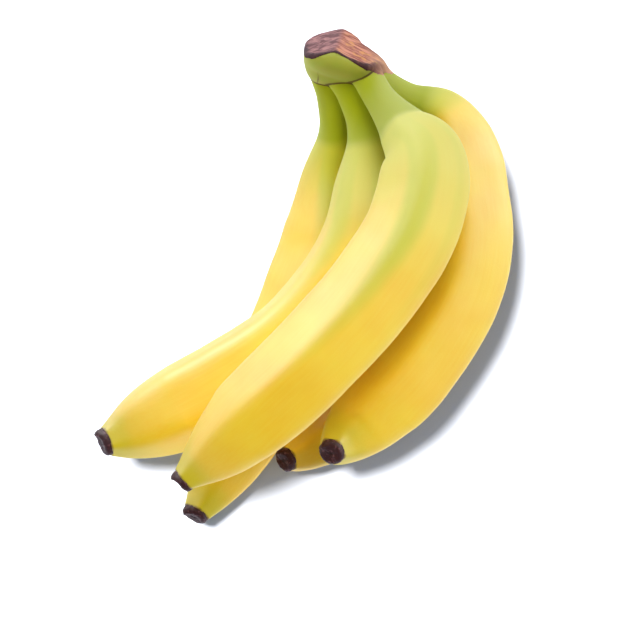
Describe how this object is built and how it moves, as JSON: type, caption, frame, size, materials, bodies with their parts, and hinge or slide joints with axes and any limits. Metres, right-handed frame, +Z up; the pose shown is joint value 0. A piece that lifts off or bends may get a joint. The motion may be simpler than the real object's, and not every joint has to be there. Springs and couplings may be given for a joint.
{
  "type": "bunch of bananas",
  "caption": "Hand of ripe yellow bananas with green necks joined at one cut crown, lying on its side, the curved fruits fanned out towards dark dry tips.",
  "frame": {"origin": "centre of the bounding box's base, on the surface that the bunch lies on", "axes": "+Z up, +Y towards the cut crown, +X towards the outer side of the bend"},
  "size_m": [0.174, 0.2111, 0.1146],
  "materials": {
    "peel": "ripe yellow peel, smooth and waxy with a soft sheen, greener at the necks and next to the tips",
    "stem": "green fleshy crown and neck roots, satin",
    "dried_cut": "knife cut dried brown and corky, rough, purplish on one face and tan on the other",
    "dry_blossom": "dry dark brown remains of the flower, rough and wrinkled"
  },
  "bodies": {
    "root": {"crown": "stem", "crown_cut": "dried_cut", "banana_1": "peel", "blossom_end_1": "dry_blossom", "banana_2": "peel", "blossom_end_2": "dry_blossom", "banana_3": "peel", "blossom_end_3": "dry_blossom", "banana_4": "peel", "blossom_end_4": "dry_blossom", "banana_5": "peel", "blossom_end_5": "dry_blossom"}
  },
  "joints": []
}
